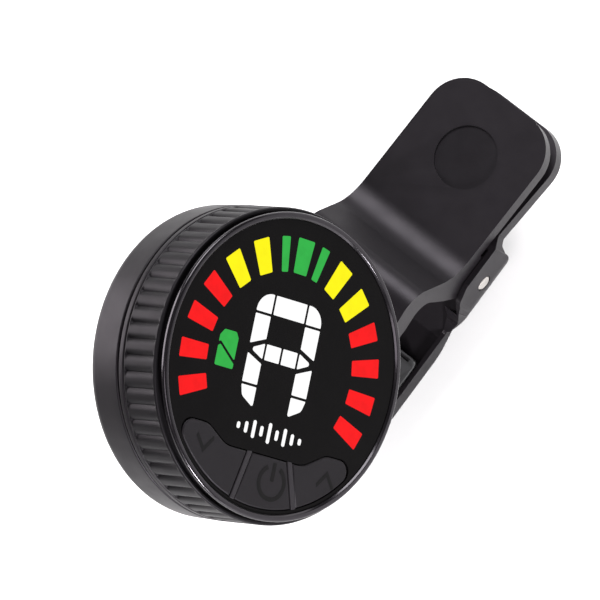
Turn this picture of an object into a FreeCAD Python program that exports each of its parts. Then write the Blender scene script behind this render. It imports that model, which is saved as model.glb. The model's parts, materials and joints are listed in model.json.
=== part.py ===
import FreeCAD, Part
import Sketcher
import math
import os

V = FreeCAD.Vector
X_AXIS, Y_AXIS, Z_AXIS = V(1, 0, 0), V(0, 1, 0), V(0, 0, 1)

# A round clip on tuner: a sprung two-lever clip that bites a headstock from both sides, a neck
# that swivels on the upper jaw and forks round a tilt hinge, and a round head whose front
# part spins on its back shell.  Millimetres.  The origin lies on the gripping face of the
# upper jaw pad; +Z points away from the headstock, +Y runs along the clip to its thumb
# ends and +X along the pivot pin.

# ---------------------------------------------------------------- driving dimensions

DIMENSIONS = {
    # clip
    "clip_half_width": 7.75,
    "ear_half_width": 8.5,
    "ear_gap_half": 7.85,
    "jaw_opening": 13.2,
    "pad_thick": 0.9,
    "lever_thick": 1.8,
    "jaw_back": 10.2,
    "thumb_tip": 35.5,
    "pin_across": 18.0,
    "pin_below": 8.5,
    "pin_radius": 0.95,
    "flange_radius": 2.2,
    "ring_inner": 2.5,
    "ring_outer": 4.0,
    "wire_radius": 0.35,
    "coil_radius": 1.75,
    "coil_pitch": 0.85,
    # neck
    "swivel_back": 4.8,
    "swivel_angle": 26.9,
    "tilt_angle": 61.6,
    "turret_radius": 4.9,
    "turret_top": 4.0,
    "tilt_lean": 3.94,
    "tilt_rise": 19.0,
    "knuckle_radius": 3.3,
    "knuckle_reach": 4.5,
    "lug_half": 2.2,
    "fork_gap_half": 2.65,
    "fork_half": 4.4,
    "tilt_pin_radius": 1.0,
    # head, along its own axis from the back face
    "head_radius": 16.75,
    "rear_radius": 16.6,
    "rear_band": 5.1,
    "seam": 0.25,
    "land_front": 6.1,
    "floor_front": 6.45,
    "rib_front": 11.33,
    "groove_front": 11.85,
    "groove_back": 10.9,
    "lens_back": 11.4,
    "lens_front": 12.1,
    "lip_front": 12.4,
    "lip_radius": 16.3,
    "wall_inner": 14.75,
    "wall_outer": 15.65,
    "lens_radius": 15.5,
    "rib_count": 60,
    "hub_radius": 2.6,
    "board_back": 8.9,
    "board_front": 9.9,
    "baffle_back": 10.5,
    "key_radius": 15.15,
    "board_radius": 14.6,
    "ledge_radius": 15.3,
    "key_travel": 0.4,
    "key_clearance": 0.1,
}

doc = FreeCAD.newDocument("clip_on_tuner")
sheet = doc.addObject("Spreadsheet::Sheet", "dims")
for row, (alias, number) in enumerate(DIMENSIONS.items(), start=1):
    sheet.set(f"A{row}", alias)
    sheet.set(f"B{row}", str(number))
    sheet.setAlias(f"B{row}", alias)
doc.recompute()


def dim(alias):
    """The number that the sheet holds under an alias."""
    return float(sheet.get(alias))


# ---------------------------------------------------------------- outlines

def arc_through(start, middle, end):
    return Part.Arc(V(*start, 0), V(*middle, 0), V(*end, 0))


def line(start, end):
    return Part.LineSegment(V(*start, 0), V(*end, 0))


def circle(centre, radius):
    return Part.Circle(V(*centre, 0), Z_AXIS, radius)


def rounded(corners):
    """A closed outline from (x, y) or (x, y, radius) corners, each radius a tangent arc."""
    count = len(corners)
    trims = []
    for index, corner in enumerate(corners):
        here = V(corner[0], corner[1], 0)
        radius = corner[2] if len(corner) > 2 else 0
        before = V(*corners[index - 1][:2], 0) - here
        after = V(*corners[(index + 1) % count][:2], 0) - here
        before.normalize()
        after.normalize()
        if radius == 0:
            trims.append((here, None, here))
            continue
        half = before.getAngle(after) / 2
        reach = radius / math.tan(half)
        bisector = (before + after).normalize()
        middle = here + bisector * (radius / math.sin(half) - radius)
        trims.append((here + before * reach, middle, here + after * reach))
    edges = []
    for index, (start, middle, end) in enumerate(trims):
        if middle is not None:
            edges.append(Part.Arc(start, middle, end))
        following = trims[(index + 1) % count][0]
        if end.distanceToPoint(following) > 1e-6:
            edges.append(Part.LineSegment(end, following))
    return edges


def offset_path(path, distance):
    """The path's corners moved to its right-hand side by a distance, for a plate's far face."""
    sides = []
    for start, end in zip(path, path[1:]):
        length = math.dist(start[:2], end[:2])
        along = ((end[0] - start[0]) / length, (end[1] - start[1]) / length)
        right = (along[1] * distance, -along[0] * distance)
        sides.append(((start[0] + right[0], start[1] + right[1]), along))
    moved = [sides[0][0]]
    for (first, one), (second, two) in zip(sides, sides[1:]):
        cross = one[0] * two[1] - one[1] * two[0]
        gap = (second[0] - first[0], second[1] - first[1])
        step = (gap[0] * two[1] - gap[1] * two[0]) / cross
        moved.append((first[0] + one[0] * step, first[1] + one[1] * step))
    last, along = sides[-1]
    span = math.dist(path[-1][:2], path[-2][:2])
    moved.append((last[0] + along[0] * span, last[1] + along[1] * span))
    return moved


def turned(corners, degrees):
    """Corners turned clockwise about the display's centre, seen from the front."""
    angle = math.radians(degrees)
    cosine, sine = math.cos(angle), math.sin(angle)
    return [(x * cosine + y * sine, y * cosine - x * sine, *rest) for x, y, *rest in corners]


# ---------------------------------------------------------------- features

def body(name):
    made = doc.addObject("PartDesign::Body", name)
    made.Label = name
    return made


def sketch(owner, plane, edges, height=0.0):
    made = owner.newObject("Sketcher::SketchObject", owner.Name + "_sketch")
    origin = next(one for one in owner.Origin.OriginFeatures if one.Role == plane)
    made.AttachmentSupport = [(origin, "")]
    made.MapMode = "FlatFace"
    if isinstance(height, str):
        made.setExpression("AttachmentOffset.Base.z", height)
    else:
        made.AttachmentOffset = FreeCAD.Placement(V(0, 0, height), FreeCAD.Rotation())
    made.addGeometry(edges, False)
    return made


def pad(owner, profile, length, symmetric=False, reverse=False):
    made = owner.newObject("PartDesign::Pad", owner.Name + "_pad")
    made.Profile = profile
    made.SideType = "Symmetric" if symmetric else "One side"
    made.Reversed = reverse
    made.setExpression("Length", str(length))
    doc.recompute()
    return made


def pocket(owner, profile, length, symmetric=False, reverse=False):
    """A cut whose effect is checked, because one that points away from the solid does nothing."""
    before = owner.Shape.Volume
    made = owner.newObject("PartDesign::Pocket", owner.Name + "_pocket")
    made.Profile = profile
    made.Type = "Length"
    made.SideType = "Symmetric" if symmetric else "One side"
    made.Reversed = reverse
    made.setExpression("Length", str(length))
    doc.recompute()
    assert owner.Shape.Volume < before - 1e-4, owner.Name + ": pocket cut nothing"
    return made


def revolve(owner, edges):
    """A turned body about Z from an outline in the X-Z half plane."""
    made = owner.newObject("PartDesign::Revolution", owner.Name + "_turn")
    profile = sketch(owner, "XZ_Plane", edges)
    made.Profile = profile
    made.ReferenceAxis = (profile, ["V_Axis"])
    made.Angle = 360
    doc.recompute()
    return made


def round_edges(owner, radius, wanted):
    """A fillet on the body's edges that a test picks by their middle point and direction."""
    names = []
    for index, edge in enumerate(owner.Shape.Edges, start=1):
        middle = edge.valueAt((edge.FirstParameter + edge.LastParameter) / 2)
        along = edge.tangentAt((edge.FirstParameter + edge.LastParameter) / 2)
        if wanted(middle, along):
            names.append(f"Edge{index}")
    assert names, owner.Name + ": no edge to round"
    base = owner.Tip
    made = owner.newObject("PartDesign::Fillet", owner.Name + "_fillet")
    made.Base = (base, names)
    made.Radius = radius
    doc.recompute()
    return made


def ring(name, outer, inner, base, length, placement):
    """A flat ring whose radii and length are expressions on the sheet."""
    made = body(name)
    edges = [circle((0, 0), 2.0), circle((0, 0), 1.0)]
    profile = sketch(made, "XY_Plane", edges, str(base))
    profile.addConstraint(Sketcher.Constraint("Radius", 0, 2.0))
    profile.addConstraint(Sketcher.Constraint("Radius", 1, 1.0))
    profile.setExpression("Constraints[1]", str(inner))
    profile.setExpression("Constraints[0]", str(outer))
    pad(made, profile, length)
    made.Placement = placement
    return made


def plate(name, edges, base, length, placement):
    """A flat plate or a set of flat tiles in the head's own frame."""
    made = body(name)
    pad(made, sketch(made, "XY_Plane", edges, str(base)), length)
    made.Placement = placement
    return made


def block(name, sizes, corner, placement):
    """A box primitive bound to the sheet, placed in a local frame."""
    made = doc.addObject("Part::Box", name)
    made.Label = name
    for side, size in zip(("Length", "Width", "Height"), sizes):
        made.setExpression(side, str(size))
    made.Placement = placement.multiply(FreeCAD.Placement(V(*corner), FreeCAD.Rotation()))
    return made


# ---------------------------------------------------------------- placements

NECK = FreeCAD.Placement(V(0, -dim("swivel_back"), 0), FreeCAD.Rotation(Z_AXIS, dim("swivel_angle")))
TILT = math.radians(dim("tilt_angle"))
HINGE = V(-dim("tilt_lean"), 0, dim("tilt_rise"))
BACK_CENTRE = HINGE + V(math.sin(TILT), 0, math.cos(TILT)) * dim("knuckle_reach")
HEAD = NECK.multiply(FreeCAD.Placement(BACK_CENTRE, FreeCAD.Rotation(Y_AXIS, dim("tilt_angle"))))
PIN = (dim("pin_across"), -dim("pin_below"))


# ---------------------------------------------------------------- clip

def upper_face():
    """The outer face of the upper lever from its jaw end to its thumb tip, in Y and Z."""
    top = dim("pad_thick") + 1.7
    return [
        (-dim("jaw_back"), top),
        (6.0, top, 8.0),
        (12.9, 4.25, 3.0),
        (16.9, -2.5, 4.6),
        (dim("thumb_tip"), -3.9),
    ]


def make_upper_lever():
    lever = body("upper_lever")
    face = upper_face()
    under = offset_path(face, dim("lever_thick"))
    under[0] = (-dim("jaw_back"), dim("pad_thick"))
    under[1] = (under[1][0], dim("pad_thick"))
    far_radii = (0, 6.0, 1.2, 6.4, 0)
    far = [(*point, radius) for point, radius in zip(under, far_radii)]
    profile = sketch(lever, "YZ_Plane", rounded(face + far[::-1]))
    pad(lever, profile, "2 * dims.clip_half_width", symmetric=True)
    add_flanges(lever)
    tip = dim("thumb_tip")
    round_edges(lever, 4.4, lambda at, along: at.y > tip - 0.5 and abs(along.y) < 0.1 and abs(along.x) < 0.1)
    cut_corners(lever, -dim("jaw_back"))
    add_turret(lever)
    cut_thumb_dimple(lever)
    seat = rounded([(18.6, -5.2), (21.6, -5.2), (21.6, -3.9), (18.6, -3.9)])
    pocket(lever, sketch(lever, "YZ_Plane", seat, -1.2), "1.4")
    return lever


def cut_corners(lever, back):
    """Rounds the two corners of the jaw's free end in plan."""
    half = dim("clip_half_width")
    for side in (1, -1):
        outline = rounded([
            (side * 12, back - 2), (side * 3, back - 2), (side * 3, back), (side * half, back, 3.0),
            (side * half, back + 5), (side * 12, back + 5),
        ])
        pocket(lever, sketch(lever, "XY_Plane", outline, 6.0), "8")


def add_flanges(lever):
    """Side flanges: a rim along the jaw, an arch over the headstock edge and the pivot eyes."""
    inner = dim("clip_half_width") - 1.5
    edges = rounded([
        (-dim("jaw_back"), 0.3),
        (9.3, 0.3, 3.0),
        (12.7, 0.95, 2.0),
        (14.0, -3.6, 4.0),
        (PIN[0] - dim("flange_radius"), PIN[1]),
        (PIN[0], PIN[1] - 1.5),
        (PIN[0] + 1.9, PIN[1] + 1.1),
        (PIN[0] + 2.5, -3.5),
        (16.9, -3.2),
        (12.6, 3.0),
        (6.0, 1.8),
        (-dim("jaw_back"), 1.8),
    ])
    for base in (inner, -dim("clip_half_width")):
        pad(lever, sketch(lever, "YZ_Plane", edges, base), "1.5")
        eye = sketch(lever, "YZ_Plane", [circle(PIN, dim("flange_radius"))], base)
        pad(lever, eye, "1.5")
    bore = sketch(lever, "YZ_Plane", [circle(PIN, dim("pin_radius") + 0.04)])
    pocket(lever, bore, "2 * dims.ear_half_width", symmetric=True)


def add_turret(lever):
    """The round seat that the neck swivels on, its screw hole and the recess for the head."""
    centre = (0, -dim("swivel_back"))
    base = dim("pad_thick") + 1.6
    top = dim("turret_top")
    pad(lever, sketch(lever, "XY_Plane", [circle(centre, dim("turret_radius"))], base), top - base)
    hole = sketch(lever, "XY_Plane", [circle(centre, 1.33)], top + 1)
    pocket(lever, hole, "6")
    recess = sketch(lever, "XY_Plane", [circle(centre, 2.7)], 2.35)
    pocket(lever, recess, "3")


def cut_thumb_dimple(lever):
    """A shallow round recess in the thumb pad, square to its sloping face."""
    across, reach, depth = 27.9, 3.6, 0.22
    face = upper_face()
    slope = (face[-1][1] - face[-2][1]) / (face[-1][0] - face[-2][0])
    height = face[-2][1] + slope * (across - face[-2][0])
    drum = lever.newObject("PartDesign::SubtractiveCylinder", "thumb_dimple")
    drum.Radius = reach
    drum.Height = 3
    origin = next(one for one in lever.Origin.OriginFeatures if one.Role == "XY_Plane")
    drum.AttachmentSupport = [(origin, "")]
    drum.MapMode = "FlatFace"
    lean = FreeCAD.Rotation(X_AXIS, math.degrees(math.atan(slope)))
    drum.AttachmentOffset = FreeCAD.Placement(V(0, across, height - depth), lean)
    doc.recompute()


def make_jaw_pad(name, gripping, backing):
    """A rubber pad between a jaw's rims, its gripping face cut by shallow cross grooves."""
    made = body(name)
    low, high = min(gripping, backing), max(gripping, backing)
    outline = rounded([(-5.8, -7.9, 0.8), (5.8, -7.9, 0.8), (5.8, 6.4, 0.8), (-5.8, 6.4, 0.8)])
    pad(made, sketch(made, "XY_Plane", outline, low), high - low)
    grooves = []
    for index in range(9):
        across = -7.0 + 1.6 * index
        grooves += rounded([(-5.0, across), (5.0, across), (5.0, across + 0.4), (-5.0, across + 0.4)])
    up = gripping < backing
    pocket(made, sketch(made, "XY_Plane", grooves, gripping), "0.25", reverse=up)
    return made


def ring_point(radius, degrees):
    angle = math.radians(degrees)
    return (PIN[0] + radius * math.cos(angle), PIN[1] + radius * math.sin(angle))


def lower_outline():
    """The lower lever's side outline: jaw, curved wall round the pivot, rear wall, thumb pad."""
    bottom = -dim("jaw_opening") - dim("pad_thick") - 1.7
    outer = dim("ring_outer")
    front = ring_point(outer, -114.7)
    rear = ring_point(outer, 0)
    tip, thick = dim("thumb_tip"), dim("lever_thick")
    around = [front, ring_point(outer, -90), ring_point(outer, -60), ring_point(outer, -30), rear]
    edges = [arc_through(around[0], around[1], around[2]), arc_through(around[2], around[3], around[4])]
    corners = [
        rear,
        (22.5, -7.05, 0.3),
        (tip, -7.8 - thick),
        (tip, -7.8),
        (22.0, -5.15),
        (16.6, -5.1, 1.0),
        (14.8, -6.2, 1.5),
        (13.7, -8.5, 3.0),
        (12.6, -11.7, 2.0),
        (10.9, -13.5, 0.6),
        (-8.9, -13.5),
        (-8.9, bottom),
        (8.4, bottom, 5.0),
        front,
    ]
    return edges + [edge for edge in rounded(corners) if not joins(edge, front, rear)]


def joins(edge, first, second):
    """Whether an edge is the straight chord between two points."""
    ends = [(round(one.x, 5), round(one.y, 5)) for one in (edge.StartPoint, edge.EndPoint)]
    wanted = [(round(x, 5), round(y, 5)) for x, y in (first, second)]
    return sorted(ends) == sorted(wanted)


def make_lower_lever():
    lever = body("lower_lever")
    pad(lever, sketch(lever, "YZ_Plane", lower_outline()), "2 * dims.ear_half_width", symmetric=True)
    round_underside(lever)
    cut_plan(lever)
    cut_cavity(lever)
    bore = sketch(lever, "YZ_Plane", [circle(PIN, dim("pin_radius"))])
    pocket(lever, bore, "2.2 * dims.ear_half_width", symmetric=True)
    return lever


def round_underside(lever):
    """The sides curve in below the pivot, down to the width of the jaw."""
    wide, ear, narrow = 12.0, dim("ear_half_width"), 6.5
    high, low = -9.3, -13.4
    for side in (1, -1):
        outline = [
            arc_through((side * ear, high), (side * (ear - 0.5), -11.6), (side * narrow, low)),
            line((side * narrow, low), (side * narrow, -18.0)),
            line((side * narrow, -18.0), (side * wide, -18.0)),
            line((side * wide, -18.0), (side * wide, high)),
            line((side * wide, high), (side * ear, high)),
        ]
        pocket(lever, sketch(lever, "XZ_Plane", outline), "100", symmetric=True)


def cut_plan(lever):
    """The plan view: jaw narrower than the eyes, thumb pad between them, rounded corners."""
    wide, half, narrow = 12.0, dim("clip_half_width"), 6.5
    ear, tip = dim("ear_half_width"), dim("thumb_tip")
    for side in (1, -1):
        jaw = [
            (side * wide, -12.0), (side * 3.5, -12.0), (side * 3.5, -8.9),
            (side * narrow, -8.9, 3.0), (side * narrow, 10.6, 4.0), (side * ear, 14.2, 3.0),
            (side * ear, 15.0), (side * wide, 15.0),
        ]
        thumb = [
            (side * wide, 21.8), (side * ear, 21.8, 0.5), (side * half, 23.2, 0.8),
            (side * half, tip, 4.4), (side * 2.5, tip), (side * 2.5, tip + 2),
            (side * wide, tip + 2),
        ]
        for outline in (jaw, thumb):
            pocket(lever, sketch(lever, "XY_Plane", rounded(outline), 0.0), "20")


def cut_cavity(lever):
    """The trough inside the lever: a round well about the pivot and a recess behind the pad."""
    inner = dim("ring_inner")
    jaw_top = -dim("jaw_opening") - dim("pad_thick")
    front = ring_point(inner, -114.7)
    back_wall = PIN[0] + inner
    well = [
        arc_through(front, ring_point(inner, -60), (back_wall, PIN[1])),
        line((back_wall, PIN[1]), (21.3, -6.6)),
        line((21.3, -6.6), (21.3, -3.0)),
        line((21.3, -3.0), (13.4, -3.0)),
        line((13.4, -3.0), (13.4, front[1] - (front[0] - 13.4) * 0.46)),
        line((13.4, front[1] - (front[0] - 13.4) * 0.46), front),
    ]
    pocket(lever, sketch(lever, "YZ_Plane", well), "2 * dims.ear_gap_half", symmetric=True)
    trough = rounded([
        (-8.0, jaw_top), (9.95, jaw_top, 0.5), (13.5, front[1] - (front[0] - 13.5) * 0.46),
        (13.5, -3.0), (-8.0, -3.0),
    ])
    pocket(lever, sketch(lever, "YZ_Plane", trough), "2 * 6.0", symmetric=True)


def make_pivot_pin():
    """The steel pin, chamfered at both ends, pressed into the lower lever's eyes."""
    pin = body("pivot_pin")
    profile = sketch(pin, "YZ_Plane", [circle(PIN, dim("pin_radius"))])
    pad(pin, profile, "2 * dims.ear_half_width", symmetric=True)
    base = pin.Tip
    chamfer = pin.newObject("PartDesign::Chamfer", "pin_ends")
    chamfer.Base = (base, ["Edge1", "Edge3"])
    chamfer.Size = 0.2
    doc.recompute()
    return pin


def make_torsion_spring():
    """Four turns and a bit of wire about the pin, one leg under each thumb side."""
    wire, mean, pitch = dim("wire_radius"), dim("coil_radius"), dim("coil_pitch")
    upper_rise, lower_rise = 30.0, -20.0
    upper_length, lower_length = 4.4, 1.25
    turns = 5 - (upper_rise - lower_rise + 180) / 360
    spine = Part.Wire(Part.makeHelix(pitch, pitch * turns, mean).Edges)
    first, last = spine.Edges[0], spine.Edges[-1]
    start, entering = first.valueAt(first.FirstParameter), first.tangentAt(first.FirstParameter)
    end, leaving = last.valueAt(last.LastParameter), last.tangentAt(last.LastParameter)
    section = Part.Wire(Part.makeCircle(wire, start, entering))
    coil = spine.makePipeShell([section], True, True)
    upper_leg = Part.makeCylinder(wire, upper_length, start, entering * -1)
    lower_leg = Part.makeCylinder(wire, lower_length, end, leaving)
    # the helix axis turns from Z to X, then the upper leg is aimed along its rise
    to_pin = FreeCAD.Rotation(Y_AXIS, 90)
    aimed = to_pin.multVec(entering * -1)
    spin = FreeCAD.Rotation(X_AXIS, upper_rise - math.degrees(math.atan2(aimed.z, aimed.y)))
    made = doc.addObject("Part::Feature", "torsion_spring")
    made.Label = "torsion_spring"
    made.Shape = coil.fuse([upper_leg, lower_leg])
    made.Placement = FreeCAD.Placement(V(-pitch * turns / 2, *PIN), spin.multiply(to_pin))
    return made


# ---------------------------------------------------------------- neck

def make_neck_fork():
    """A turned foot, a leaning stem and two cheeks round the tilt hinge."""
    fork = body("neck_fork")
    foot_base = dim("turret_top") + 0.1
    foot_top = foot_base + 1.5
    pad(fork, sketch(fork, "XY_Plane", [circle((0, 0), dim("turret_radius"))], foot_base), "1.5")
    across, up, radius = -dim("tilt_lean"), dim("tilt_rise"), dim("knuckle_radius")
    lean = math.atan2(up - foot_top, -across)
    left = (across - radius * math.sin(lean), up - radius * math.cos(lean))
    right = (across + radius * math.sin(lean), up + radius * math.cos(lean))
    edges = [
        line((-2.6, foot_base + 0.2), left),
        arc_through(left, (across - radius * math.cos(lean), up + radius * math.sin(lean)), right),
        line(right, (3.4, foot_base + 0.2)),
        line((3.4, foot_base + 0.2), (-2.6, foot_base + 0.2)),
    ]
    pad(fork, sketch(fork, "XZ_Plane", edges), "2 * dims.fork_half", symmetric=True)
    slot_floor = up - radius - 0.7
    slot = rounded([(-12, slot_floor, 0.0), (6, slot_floor, 0.0), (6, up + 8), (-12, up + 8)])
    pocket(fork, sketch(fork, "XZ_Plane", slot), "2 * dims.fork_gap_half", symmetric=True)
    eye = sketch(fork, "XZ_Plane", [circle((across, up), dim("tilt_pin_radius"))])
    pocket(fork, eye, "3 * dims.fork_half", symmetric=True)
    thread = sketch(fork, "XY_Plane", [circle((0, 0), 1.25)], foot_base + 6.0)
    pocket(fork, thread, "8")
    fork.Placement = NECK
    return fork


def make_swivel_screw():
    """The screw that holds the fork down; it turns with the neck in the upper lever's hole."""
    screw = body("swivel_screw")
    revolve(screw, rounded([(0, 1.0), (2.0, 1.0, 0.25), (2.0, 1.85), (1.25, 1.85), (1.25, 9.0), (0, 9.0)]))
    slot = rounded([(-1.4, -0.25), (1.4, -0.25), (1.4, 0.25), (-1.4, 0.25)])
    for direction in (0, 90):
        pocket(screw, sketch(screw, "XY_Plane", turned_edges(slot, direction), 1.0), "0.4", reverse=True)
    screw.Placement = NECK
    return screw


def turned_edges(edges, degrees):
    """Edges turned about the origin of their sketch plane."""
    for edge in edges:
        edge.rotate(FreeCAD.Placement(V(0, 0, 0), Z_AXIS, degrees))
    return edges


def moved_edges(edges, across, up):
    """Edges shifted in their sketch plane."""
    for edge in edges:
        edge.translate(V(across, up, 0))
    return edges


def make_tilt_pin():
    """The hinge pin across the fork, with one domed head."""
    pin = body("tilt_pin")
    radius, half = dim("tilt_pin_radius"), dim("fork_half")
    revolve(pin, rounded([
        (0, -half), (radius, -half), (radius, half), (1.75, half), (1.75, half + 0.25, 0.2),
        (0, half + 0.45),
    ]))
    along_hinge = FreeCAD.Placement(HINGE, FreeCAD.Rotation(X_AXIS, -90))
    pin.Placement = NECK.multiply(along_hinge)
    return pin


def make_tilt_washers():
    """Two friction washers between the fork's cheeks and the rear shell's lug."""
    washers = body("tilt_washers")
    inner, outer = dim("tilt_pin_radius") + 0.05, dim("knuckle_radius") - 0.3
    base = dim("lug_half") + 0.05
    for height in (base, -base - 0.35):
        edges = [circle((0, 0), outer), circle((0, 0), inner)]
        pad(washers, sketch(washers, "XY_Plane", edges, height), "0.35")
    along_hinge = FreeCAD.Placement(HINGE, FreeCAD.Rotation(X_AXIS, -90))
    washers.Placement = NECK.multiply(along_hinge)
    return washers


# ---------------------------------------------------------------- head, back shell

def make_rear_shell():
    """The fixed back of the head: a shallow cup, its hub post and the lug of the tilt hinge."""
    shell = body("rear_shell")
    outer, band, hub = dim("head_radius"), dim("rear_band"), dim("hub_radius")
    revolve(shell, rounded([
        (0, 0), (dim("rear_radius"), 0, 1.5), (outer, band, 0.2), (15.2, band), (15.0, 1.6, 0.8),
        (13.6, 1.6), (13.6, 3.6), (11.4, 3.6), (11.4, 1.6), (hub + 1.4, 1.6), (hub + 1.4, band - 0.3),
        (hub, band - 0.3), (hub, dim("floor_front") + 0.15), (0, dim("floor_front") + 0.15),
    ]))
    reach, radius = dim("knuckle_reach"), dim("knuckle_radius")
    lug = [
        line((radius, 1.0), (-radius, 1.0)),
        line((-radius, 1.0), (-radius, -reach)),
        arc_through((-radius, -reach), (0, -reach - radius), (radius, -reach)),
        line((radius, -reach), (radius, 1.0)),
    ]
    pad(shell, sketch(shell, "XZ_Plane", lug), "2 * dims.lug_half", symmetric=True)
    bore = sketch(shell, "XZ_Plane", [circle((0, -reach), dim("tilt_pin_radius") + 0.05)])
    pocket(shell, bore, "3 * dims.lug_half", symmetric=True)
    thread = sketch(shell, "XY_Plane", [circle((0, 0), 1.0)], dim("floor_front") + 1)
    pocket(shell, thread, "5.4")
    lug_edge = dim("lug_half") - 0.05
    round_edges(shell, 0.4, lambda at, along: abs(abs(at.y) - lug_edge - 0.05) < 0.01 and at.z < -0.1
                and abs(along.y) < 0.01 and math.dist((at.x, at.z), (0, -reach)) > radius - 0.1)
    shell.Placement = HEAD
    return shell


def make_hub_screw():
    """The screw in the hub post that keeps the spinning front part on."""
    screw = body("hub_screw")
    seat = dim("floor_front") + 0.15 + 0.4
    head = seat + 0.8
    revolve(screw, rounded([
        (0, 2.2), (1.0, 2.2), (1.0, seat), (1.9, seat), (1.9, head, 0.3), (0, head),
    ]))
    slot = rounded([(-1.2, -0.25), (1.2, -0.25), (1.2, 0.25), (-1.2, 0.25)])
    for direction in (0, 90):
        pocket(screw, sketch(screw, "XY_Plane", turned_edges(slot, direction), head), "0.4")
    screw.Placement = HEAD
    return screw


# ---------------------------------------------------------------- display layout

BAR_INNER, BAR_OUTER = 10.0, 13.75
BAR_CENTRE = (-0.4, -0.1)
BAR_TURN = 1.0
YELLOW_ANGLES = (26.5, 43.8)
RED_ANGLES = (60.5, 77.3, 94.5, 111.7)


def bar(angle, inner_width, outer_width):
    """A tapered radial bar at a clockwise angle from the top of the display."""
    corners = [
        (-inner_width / 2, BAR_INNER, 0.15), (-outer_width / 2, BAR_OUTER, 0.15),
        (outer_width / 2, BAR_OUTER, 0.15), (inner_width / 2, BAR_INNER, 0.15),
    ]
    return moved_edges(rounded(turned(corners, angle + BAR_TURN)), *BAR_CENTRE)


def bars(angles, inner_width, outer_width):
    edges = []
    for angle in angles:
        for side in (-1, 1):
            edges += bar(side * angle, inner_width, outer_width)
    return edges


def green_edges():
    return bar(0, 1.8, 2.3) + bars((12.0,), 0.85, 1.15)


def yellow_edges():
    return bars(YELLOW_ANGLES, 1.7, 2.15)


def red_edges():
    return bars(RED_ANGLES, 1.6, 2.05)


def note_edges():
    """A segment letter: corners, strokes, a crossbar with pointed ends and tapered feet."""
    out, inn, gap = 4.55, 2.45, 0.28
    top, shoulder, bar_top, bar_low, knee, foot = 7.35, 5.3, 2.13, 0.45, -2.3, -4.7
    middle = (bar_top + bar_low) / 2
    edges = rounded([(-inn + gap, shoulder, 0.1), (inn - gap, shoulder, 0.1), (inn - gap, top, 0.1),
                     (-inn + gap, top, 0.1)])
    for side in (-1, 1):
        def mirrored(corners):
            return rounded([(side * x, *rest) for x, *rest in corners])
        edges += mirrored([(inn, shoulder, 0.1), (inn, top, 0.1), (out, top, 1.9), (out, shoulder, 0.1)])
        edges += mirrored([(inn, shoulder - gap, 0.1), (out, shoulder - gap, 0.1), (out, middle + 0.5, 0.1),
                           (inn, bar_top + 0.5, 0.1)])
        edges += mirrored([(inn, bar_top, 0.1), (out - 0.2, middle, 0.25), (inn, bar_low, 0.1)])
        edges += mirrored([(gap / 2, bar_low, 0.1), (gap / 2, bar_top, 0.1), (inn - gap, bar_top, 0.1),
                           (inn - gap, bar_low, 0.1)])
        edges += mirrored([(inn, bar_low - 0.5, 0.1), (out, middle - 0.5, 0.1), (out, knee, 0.1),
                           (inn, knee, 0.1)])
        edges += mirrored([(inn, knee - gap, 0.1), (out, knee - gap, 0.1), (out - 0.35, foot + 0.95, 0.8),
                           (inn, foot, 0.2)])
    return moved_edges(edges, -0.5, -0.3)


def charge_edges():
    """A battery sign in two parts with a slanted gap between them."""
    left, right, top, low = -8.9, -6.35, 2.3, -1.6
    upper = rounded([(left, top - 0.7, 0.2), (left + 0.5, top, 0.3), (right - 0.4, top, 0.3),
                     (right, top - 0.6, 0.2), (right, -0.68, 0.1), (left + 0.25, 1.02, 0.1),
                     (left, 0.77, 0.1)])
    lower = rounded([(left, 0.45, 0.1), (left + 0.3, 0.65, 0.1), (right, -1.05, 0.1), (right, low, 0.2),
                     (left, low, 0.2)])
    return moved_edges(upper + lower, -0.3, -0.15)


def level_edges():
    """A row of small round-ended strokes below the note, like a sound wave."""
    middle, pitch, half_wide = -7.15, 1.08, 0.23
    edges = []
    for index, half in enumerate((0.35, 0.6, 0.95, 0.55, 1.1, 0.55, 0.95, 0.6, 0.35)):
        across = (index - 4) * pitch
        corners = [(-half_wide, -half), (half_wide, -half), (half_wide, half), (-half_wide, half)]
        edges += rounded([(across + x, middle + y, 0.21) for x, y in corners])
    return edges


WINDOW_SETS = {
    "red_windows": red_edges,
    "yellow_windows": yellow_edges,
    "green_windows": green_edges,
    "note_windows": note_edges,
    "charge_window": charge_edges,
    "level_windows": level_edges,
}


# ---------------------------------------------------------------- keys

DIVIDERS = (12.5, -20.5)
RIDGE_HALF = 0.3


def key_field(grow, low, high):
    """The smile-shaped field of the three keys, grown outwards by a clearance."""
    upper = -7.7 + grow
    outline = rounded([
        (-16.5, upper), (-8.3, upper, 2.2), (-5.4, -9.45 + grow, 3.0), (5.4, -9.45 + grow, 3.0),
        (8.3, upper, 2.2), (16.5, upper), (16.5, -18.0), (-16.5, -18.0),
    ])
    face = Part.Face(Part.Wire([edge.toShape() for edge in outline]))
    field = face.extrude(V(0, 0, high - low))
    field.translate(V(0, 0, low))
    disc = Part.makeCylinder(dim("key_radius") + grow, high - low, V(0, 0, low))
    field = field.common(disc)
    ends = [edge for edge in field.Edges
            if abs(edge.CenterOfMass.x) > 11 and edge.CenterOfMass.y > -10 and upright(edge)]
    return field.makeFillet(1.3, ends)


def upright(edge):
    return abs(edge.tangentAt(edge.FirstParameter).z) > 0.99


def sector(first, second, low, high):
    """A wedge from the display's centre between two angles, measured clockwise from straight down."""
    points = [V(0, 0, low)]
    for angle in (first, (first + second) / 2, second):
        turn = math.radians(angle)
        points.append(V(-40 * math.sin(turn), -40 * math.cos(turn), low))
    points.append(points[0])
    return Part.Face(Part.makePolygon(points)).extrude(V(0, 0, high - low))


def ridge_wall(angle, half, low, high):
    """A thin radial wall at an angle clockwise from straight down."""
    wall = Part.makeBox(2 * half, 20, high - low, V(-half, -20, low))
    wall.rotate(V(0, 0, 0), Z_AXIS, -angle)
    return wall


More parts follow.
